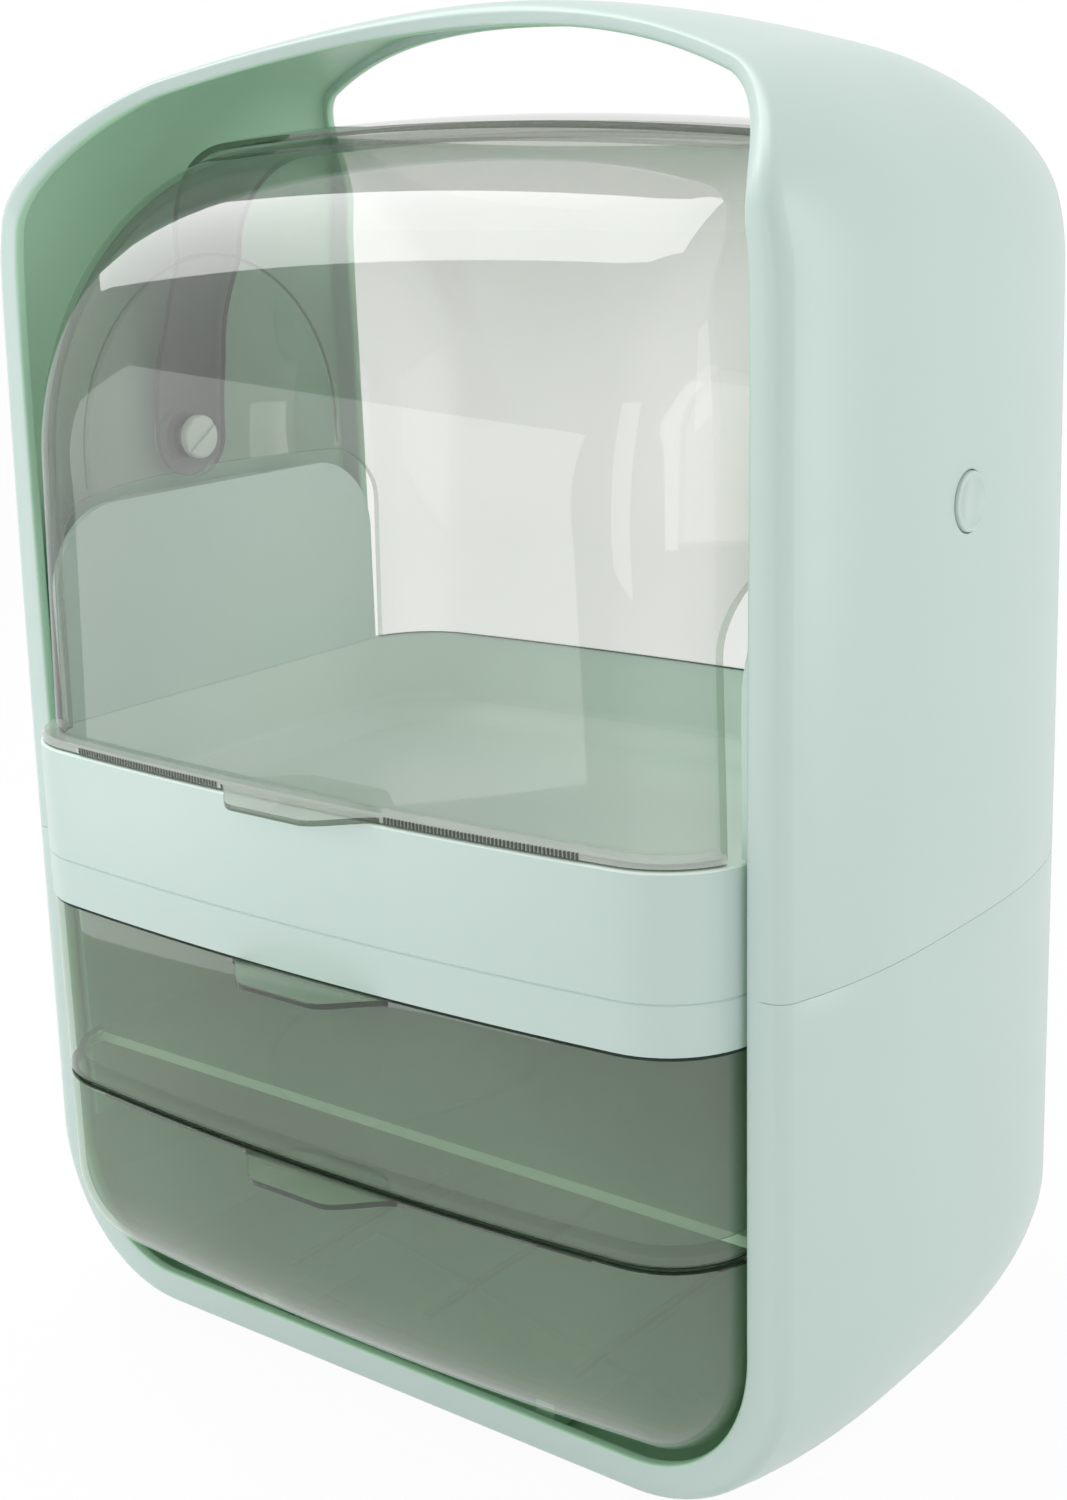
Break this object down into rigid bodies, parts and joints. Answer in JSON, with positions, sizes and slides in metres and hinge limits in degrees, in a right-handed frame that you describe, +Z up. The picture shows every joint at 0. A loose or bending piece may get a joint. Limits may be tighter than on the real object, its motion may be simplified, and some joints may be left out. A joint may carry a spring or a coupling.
{
  "type": "makeup organizer",
  "caption": "Tall makeup organizer with a carrying arch, stacked pull-out drawers and an open tray under a see-through cover that swings up and back.",
  "frame": {"origin": "on the table, under the middle of the whole organizer with its drawers and cover closed", "axes": "+Z up, the drawers open towards -Y, +X to the right seen from the front"},
  "size_m": [0.2724, 0.195, 0.37],
  "materials": {
    "body": "glossy pale mint",
    "drawer": "glossy see-through smoke green",
    "cover": "glossy see-through, faintly smoky",
    "pivot": "satin off-white",
    "screw": "plated",
    "foot": "soft, pale"
  },
  "bodies": {
    "organizer": {"upper_shell": "body", "lower_shell": "body", "vanity_tray": "body", "left_side_panel": "body", "right_side_panel": "body", "cabinet_deck": "body", "rear_panel": "body", "mid_shelf": "body", "left_guide": "body", "right_guide": "body", "floor_rails": "body", "rear_cover": "cover", "left_pivot_pin": "pivot", "right_pivot_pin": "pivot", "left_pivot_cap": "body", "right_pivot_cap": "body", "left_pivot_bush": "pivot", "right_pivot_bush": "pivot", "deck_screws": "screw", "front_left_foot": "foot", "front_right_foot": "foot", "rear_left_foot": "foot", "rear_right_foot": "foot"},
    "upper_drawer": {"upper_drawer": "drawer"},
    "lower_drawer": {"lower_drawer": "drawer"},
    "front_cover": {"front_cover": "cover"}
  },
  "joints": [
    {"name": "front_cover_swing", "type": "hinge", "parent": "organizer", "child": "front_cover", "pos_m": [0, 0.0055, 0.252], "axis": [-1, 0, 0], "range_deg": [0, 80]},
    {"name": "upper_drawer_slide", "type": "slide", "parent": "organizer", "child": "upper_drawer", "axis": [0, -1, 0], "range_m": [0, 0.11]},
    {"name": "lower_drawer_slide", "type": "slide", "parent": "organizer", "child": "lower_drawer", "axis": [0, -1, 0], "range_m": [0, 0.11]}
  ]
}
